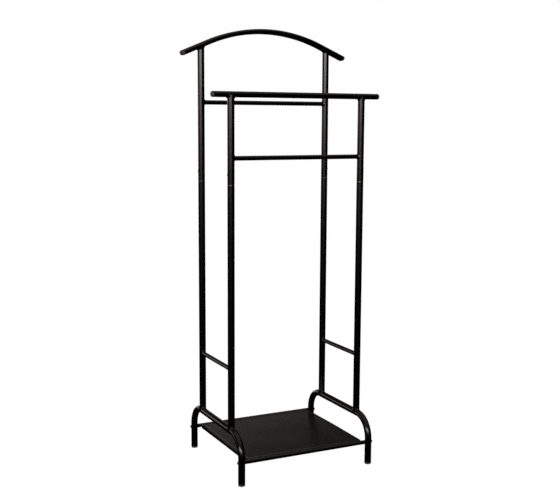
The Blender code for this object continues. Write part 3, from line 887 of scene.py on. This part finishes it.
def build_screws():
    for side, x_sign in SIDES.items():
        outward = x_sign * X_AXIS
        for end in ENDS:
            for node, sizes in (
                (f"{end}_{side}_joint_screw", JOINT_SCREW),
                (f"{end}_{side}_shelf_bolt", SHELF_BOLT),
            ):
                centre = middle(node)
                seat = Vector((x_sign * (X_SIDE + FRAME_RADIUS + GAP), centre.y, centre.z))
                build_screw(node, seat, outward, **sizes)


# ---------------------------------------------------------------- the shelf
TRAY_LOW, TRAY_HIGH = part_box("shelf_mesh")
TRAY_HALF_X = TRAY_HIGH.x
TRAY_HALF_Y = TRAY_HIGH.y
TRAY_TOP = TRAY_HIGH.z
TRAY_FLANGE = TRAY_HIGH.z - TRAY_LOW.z
TRAY_SHEET = 0.001
TRAY_MARGIN = 0.0076  # from the tray's side to its first holes
TRAY_CORNER = 0.0040  # corner radius seen from above
CORNER_STEPS = 6
HEM_RADIUS = 0.0026  # the rolled hem that stands above the mesh
HEM_SLOPE = 0.0026  # width of the step down from the hem to the mesh
MESH_DROP = 0.0013  # the mesh, below the top of the hem
HOLE_BULGE = 0.56  # how far the middles of a hole's sides stand out
HOLE_SHAPE = (
    (1.0, 0.0), (HOLE_BULGE, HOLE_BULGE), (0.0, 1.0), (-HOLE_BULGE, HOLE_BULGE),
    (-1.0, 0.0), (-HOLE_BULGE, -HOLE_BULGE), (0.0, -1.0), (HOLE_BULGE, -HOLE_BULGE),
)
HOLES_X = 44
HOLES_Y = 44
HOLE_WIDE = 0.50  # half-width of a hole, as a share of its diamond cell
HOLE_DEEP = 0.41
TRAY_CROWN = 0.0007  # how far the folded edges bow the sheet up
TRAY_WAVE = 0.0006


def settled(point):
    """The crown that the folded edges leave in the tray, and the slight waves of thin sheet."""
    across = 1 - (point.y / TRAY_HALF_Y) ** 2
    middle_part = 1 - (point.x / TRAY_HALF_X) ** 2
    wave = noise.noise(Vector((point.x * 9, point.y * 9, 4.0))) * TRAY_WAVE
    return point + Z_AXIS * (TRAY_CROWN * (0.8 + 0.2 * middle_part) + wave) * across


def hem_profile():
    """(distance in from the side, level below the top, rim) over the hem and back under it."""
    over = [(0.0, -TRAY_FLANGE + 0.0002, 1.0), (0.0, -TRAY_FLANGE + 0.0012, 0.3), (0.0, -HEM_RADIUS, 0.0)]
    under = [(TRAY_SHEET, -TRAY_FLANGE + 0.0002, 0.8), (TRAY_SHEET, -HEM_RADIUS, 0.0)]
    inner = HEM_RADIUS - TRAY_SHEET
    for step in range(1, 7):
        turn = math.pi / 2 * step / 6
        over.append((HEM_RADIUS * (1 - math.cos(turn)), -HEM_RADIUS * (1 - math.sin(turn)), 0.4))
        inset = TRAY_SHEET + inner * (1 - math.cos(turn))
        under.append((inset, -TRAY_SHEET - inner * (1 - math.sin(turn)), 0.0))
    for share in (0.25, 0.5, 0.75, 1.0):
        along = HEM_RADIUS + HEM_SLOPE * share
        drop = MESH_DROP * (3 * share**2 - 2 * share**3)
        over.append((along, -drop, 0.0))
        under.append((along - 0.0003 * math.sin(math.pi * share), -drop - TRAY_SHEET, 0.0))
    return over, under


def tray_ring(work, inset, level, rim):
    """One closed line round the tray, at a distance in from its side, in step with the mesh's edge."""
    half_x, half_y = TRAY_HALF_X - inset, TRAY_HALF_Y - inset
    field_x, field_y = TRAY_HALF_X - TRAY_MARGIN, TRAY_HALF_Y - TRAY_MARGIN
    bend = max(TRAY_CORNER - inset, 0.0)
    lines = []
    for turn_start, sign_x, sign_y, count in (
        (180, -1, -1, HOLES_X), (270, 1, -1, HOLES_Y), (0, 1, 1, HOLES_X), (90, -1, 1, HOLES_Y),
    ):
        centre = Vector((sign_x * (half_x - bend), sign_y * (half_y - bend), TRAY_TOP + level))
        if bend < 1e-6:
            corner = add_ring(work, [settled(centre)], rim) * (CORNER_STEPS + 1)
        else:
            steps = range(CORNER_STEPS + 1)
            turns = [math.radians(turn_start + 90 * step / CORNER_STEPS) for step in steps]
            points = [settled(centre + Vector((math.cos(t), math.sin(t), 0)) * bend) for t in turns]
            corner = add_ring(work, points, rim)
        lines += corner
        steps = range(1, count)
        if sign_y == -1 and sign_x == -1:
            points = [Vector((field_x * (2 * step / count - 1), -half_y, 0)) for step in steps]
        elif sign_y == -1:
            points = [Vector((half_x, field_y * (2 * step / count - 1), 0)) for step in steps]
        elif sign_x == 1:
            points = [Vector((field_x * (1 - 2 * step / count), half_y, 0)) for step in steps]
        else:
            points = [Vector((-half_x, field_y * (1 - 2 * step / count), 0)) for step in steps]
        lines += add_ring(work, [settled(point + Z_AXIS * (TRAY_TOP + level)) for point in points], rim)
    return lines


def mesh_field(work, level):
    """Nodes of the diamond lattice on one face of the sheet, by their place in the lattice."""
    field_x, field_y = TRAY_HALF_X - TRAY_MARGIN, TRAY_HALF_Y - TRAY_MARGIN
    nodes = {}
    for i in range(2 * HOLES_X + 1):
        for j in range(2 * HOLES_Y + 1):
            if (i + j) % 2 == 0:
                point = Vector((field_x * (i / HOLES_X - 1), field_y * (j / HOLES_Y - 1), TRAY_TOP + level))
                nodes[i, j] = add_ring(work, [settled(point)])[0]
    return nodes


def field_edge(nodes):
    """The lattice's own edge nodes, in the order of tray_ring."""
    last_i, last_j = 2 * HOLES_X, 2 * HOLES_Y
    edge = [nodes[0, 0]] * (CORNER_STEPS + 1) + [nodes[i, 0] for i in range(2, last_i, 2)]
    edge += [nodes[last_i, 0]] * (CORNER_STEPS + 1) + [nodes[last_i, j] for j in range(2, last_j, 2)]
    edge += [nodes[last_i, last_j]] * (CORNER_STEPS + 1)
    edge += [nodes[i, last_j] for i in range(last_i - 2, 0, -2)]
    edge += [nodes[0, last_j]] * (CORNER_STEPS + 1) + [nodes[0, j] for j in range(last_j - 2, 0, -2)]
    return edge


def build_shelf_mesh():
    """The tray: expanded diamond mesh with a rolled hem, folded down on all four sides."""
    work = bmesh.new()
    top_level, under_level = -MESH_DROP, -MESH_DROP - TRAY_SHEET
    top, under = mesh_field(work, top_level), mesh_field(work, under_level)
    over, beneath = hem_profile()
    over_rings = [tray_ring(work, *station) for station in over]
    under_rings = [tray_ring(work, *station) for station in beneath]
    edge_point = TRAY_SHEET / 2, -TRAY_FLANGE, 1.0
    edge_ring = tray_ring(work, *edge_point)
    rings = [field_edge(top), *over_rings[::-1], edge_ring, *under_rings, field_edge(under)]
    join_all(work, rings, end_faces=False)
    field_x, field_y = TRAY_HALF_X - TRAY_MARGIN, TRAY_HALF_Y - TRAY_MARGIN
    cell_x, cell_y = field_x / HOLES_X, field_y / HOLES_Y
    last_i, last_j = 2 * HOLES_X, 2 * HOLES_Y
    for i in range(last_i + 1):
        for j in range(last_j + 1):
            if (i + j) % 2 == 0:
                continue
            around = [(i + 1, j), (i, j + 1), (i - 1, j), (i, j - 1)]
            if 0 < i < last_i and 0 < j < last_j:
                holes = []
                for level in (top_level, under_level):
                    points = []
                    for a, b in HOLE_SHAPE:
                        x = field_x * (i / HOLES_X - 1) + a * cell_x * HOLE_WIDE
                        y = field_y * (j / HOLES_Y - 1) + b * cell_y * HOLE_DEEP
                        points.append(settled(Vector((x, y, TRAY_TOP + level))))
                    holes.append(add_ring(work, points, 0.35))
                for hole, nodes in ((holes[0], top), (holes[1], under)):
                    for k in range(4):
                        corners = [nodes[around[k]], nodes[around[(k + 1) % 4]]]
                        rest = [hole[(2 * k + 2) % 8], hole[2 * k + 1], hole[2 * k]]
                        work.faces.new(corners + rest)
                join_rings(work, holes[0], holes[1])
            else:
                kept = [key for key in around if key in top]
                work.faces.new([top[key] for key in kept])
                work.faces.new([under[key] for key in kept])
    return add_piece("shelf_mesh_tray", work, "shelf_mesh", "shelf_mesh", sharp=50)


def build_shelf_rails():
    for end, y_sign in ENDS.items():
        node = f"{end}_shelf_rail"
        start = Vector((-X_SIDE, y_sign * Y_LEG, RAIL_LEVEL))
        finish = Vector((X_SIDE, y_sign * Y_LEG, RAIL_LEVEL))
        shape = [welded_end(bow_skin(x), clear=GAP, bore=-INSERT_ROOM) for x in (-X_SIDE, X_SIDE)]
        straight_tube(f"{node}_tube", node, start, finish, RAIL_RADIUS, THIN_WALL, SMALL_SIDES, shape)


# ---------------------------------------------------------------- the studio
STAND_CENTRE = Vector(((cad_low.x + cad_high.x) / 2, (cad_low.y + cad_high.y) / 2, 0))
VIEW_TURN = math.radians(26.54)
VIEW_DROP = math.radians(7.88)
VIEW_ROLL = math.radians(0.309)
VIEW_PLACE = STAND_CENTRE + Vector((-1.0746, -2.1501, 0.8649))
SENSOR = 36.0
LENS = 61.92
FLOOR_GLOW = 0.985  # to look at
FLOOR_IN_GLOSS = 0.003  # the same floor in reflections
WALL_TURN = VIEW_TURN - math.radians(42)  # the wall stands behind the stand, to its left
WALL_GLOW = 1.15
ROOM_GLOW = 0.004
CEILING_GLOW = 0.45
SOFT_BOX_COLOUR = (1.0, 0.87, 0.88)
ROOM_COLOUR = (1.0, 0.91, 0.86, 1)
WHITE = (1, 1, 1, 1)


def build_camera():
    level_ahead = Vector((math.sin(VIEW_TURN), math.cos(VIEW_TURN), 0))
    forward = level_ahead * math.cos(VIEW_DROP) - Z_AXIS * math.sin(VIEW_DROP)
    right = Vector((math.cos(VIEW_TURN), -math.sin(VIEW_TURN), 0))
    up = right.cross(forward)
    tilted_right = right * math.cos(VIEW_ROLL) + up * math.sin(VIEW_ROLL)
    tilted_up = up * math.cos(VIEW_ROLL) - right * math.sin(VIEW_ROLL)
    camera_data = bpy.data.cameras.new("camera")
    camera_data.lens = LENS
    camera_data.sensor_width = SENSOR
    camera_data.sensor_fit = "HORIZONTAL"
    camera_data.clip_end = 100
    camera = bpy.data.objects.new("camera", camera_data)
    bpy.context.scene.collection.objects.link(camera)
    matrix = Matrix((tilted_right, tilted_up, -forward)).transposed().to_4x4()
    matrix.translation = VIEW_PLACE
    camera.matrix_world = matrix
    bpy.context.scene.camera = camera


def soft_light(name, place, target, width, height, radiance):
    """A rectangular soft light whose face has the given radiance."""
    data = bpy.data.lights.new(name, "AREA")
    data.shape = "RECTANGLE"
    data.size = width
    data.size_y = height
    data.energy = radiance * math.pi * width * height
    data.color = SOFT_BOX_COLOUR
    light = bpy.data.objects.new(name, data)
    bpy.context.scene.collection.objects.link(light)
    turn = (target - place).to_track_quat("-Z", "Y").to_matrix().to_4x4()
    light.matrix_world = Matrix.Translation(place) @ turn


def build_floor():
    """A plain pale floor, with only a trace of the stand's shade on it."""
    work = bmesh.new()
    sides = 64
    rings = []
    for radius in (0.6, 2.5, 14.0):
        outline = oval(2 * radius, 2 * radius, sides)
        rings.append([work.verts.new((STAND_CENTRE.x + a, STAND_CENTRE.y + u, 0)) for a, u in outline])
    for first, second in zip(rings, rings[1:]):
        join_rings(work, first, second)
    work.faces.new(rings[0])
    bmesh.ops.recalc_face_normals(work, faces=work.faces)
    mesh = bpy.data.meshes.new("floor")
    work.to_mesh(mesh)
    work.free()
    floor = bpy.data.objects.new("floor", mesh)
    bpy.context.scene.collection.objects.link(floor)
    material = bpy.data.materials.new("pale_floor")
    material.use_nodes = True
    tree = material.node_tree
    tree.nodes.clear()
    output = add_node(tree, "ShaderNodeOutputMaterial")
    paths = add_node(tree, "ShaderNodeLightPath")
    matt = add_node(tree, "ShaderNodeBsdfDiffuse", values={"Color": (0.05, 0.05, 0.05, 1)})
    glow = add_node(tree, "ShaderNodeEmission", values={"Color": WHITE, "Strength": FLOOR_GLOW})
    seen = add_node(tree, "ShaderNodeAddShader")
    tree.links.new(matt.outputs[0], seen.inputs[0])
    tree.links.new(glow.outputs[0], seen.inputs[1])
    unseen = add_node(tree, "ShaderNodeEmission", values={"Color": WHITE, "Strength": FLOOR_IN_GLOSS})
    choice = add_node(tree, "ShaderNodeMixShader")
    tree.links.new(paths.outputs["Is Camera Ray"], choice.inputs[0])
    tree.links.new(unseen.outputs[0], choice.inputs[1])
    tree.links.new(seen.outputs[0], choice.inputs[2])
    tree.links.new(choice.outputs[0], output.inputs["Surface"])
    mesh.materials.append(material)


def build_world():
    """White to look at; in reflections a pale wall behind, a dim ceiling, and a dark room elsewhere."""
    world = bpy.data.worlds.new("studio")
    bpy.context.scene.world = world
    world.use_nodes = True
    tree = world.node_tree
    tree.nodes.clear()
    output = add_node(tree, "ShaderNodeOutputWorld")
    direction = add_node(tree, "ShaderNodeTexCoord").outputs["Generated"]
    parts = add_node(tree, "ShaderNodeSeparateXYZ")
    tree.links.new(direction, parts.inputs[0])
    facing = add_node(tree, "ShaderNodeVectorMath", operation="DOT_PRODUCT")
    tree.links.new(direction, facing.inputs[0])
    facing.inputs[1].default_value = (math.sin(WALL_TURN), math.cos(WALL_TURN), 0)
    wall = ramp(tree, facing.outputs["Value"], 0.55, 0.95)
    height = ramp(tree, parts.outputs["Z"], 0.10, 0.37, 1.0, 0.0)
    glow = math_node(tree, "MULTIPLY", math_node(tree, "MULTIPLY", wall, height), WALL_GLOW)
    ceiling = ramp(tree, parts.outputs["Z"], 0.45, 0.90, ROOM_GLOW, CEILING_GLOW)
    strength = math_node(tree, "ADD", glow, ceiling)
    room = add_node(tree, "ShaderNodeBackground", values={"Color": ROOM_COLOUR})
    tree.links.new(strength, room.inputs["Strength"])
    white = add_node(tree, "ShaderNodeBackground", values={"Color": WHITE, "Strength": 0.992})
    choice = add_node(tree, "ShaderNodeMixShader")
    tree.links.new(add_node(tree, "ShaderNodeLightPath").outputs["Is Camera Ray"], choice.inputs[0])
    tree.links.new(room.outputs[0], choice.inputs[1])
    tree.links.new(white.outputs[0], choice.inputs[2])
    tree.links.new(choice.outputs[0], output.inputs["Surface"])


# Each strip of the soft box: the heights of its edges, and its radiance.
BOX_STRIPS = {
    "crown": (1.36, 2.10, 8.2),
    "upper": (1.14, 1.36, 5.8),
    "middle": (0.92, 1.14, 2.0),
    "lower": (0.66, 0.92, 0.75),
    "foot": (0.30, 0.66, 0.18),
}
BOX_WIDTH = 6.4
BOX_DISTANCE = 4.0
BOX_SHIFT = 1.2  # to the left of the camera


def build_lights():
    """A wide soft box beside the camera, brightest at the top and fading downward."""
    toward_camera = Vector((-math.sin(VIEW_TURN), -math.cos(VIEW_TURN), 0))
    to_the_left = Vector((-math.cos(VIEW_TURN), math.sin(VIEW_TURN), 0))
    for name, (low_edge, high_edge, radiance) in BOX_STRIPS.items():
        target = STAND_CENTRE + to_the_left * BOX_SHIFT + Z_AXIS * (low_edge + high_edge) / 2
        place = target + toward_camera * BOX_DISTANCE
        soft_light(f"{name}_light", place, target, BOX_WIDTH, high_edge - low_edge, radiance)


# ---------------------------------------------------------------- the stand
build_camera()
build_foot_bows()
build_uprights()
build_bars()
build_shoulder_arch()
build_caps()
build_screws()
build_shelf_mesh()
build_shelf_rails()
for node_name in list(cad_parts):
    if node_name.endswith(("_spigot", "_rail_insert")):
        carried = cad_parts[node_name]
        if not carried.material_slots:
            carried.data.materials.append(FINISHES["zinc_steel"])
        for material_slot in carried.material_slots:
            material_slot.material = FINISHES["zinc_steel"]
build_floor()
build_world()
build_lights()
bpy.context.scene.view_settings.view_transform = "Standard"
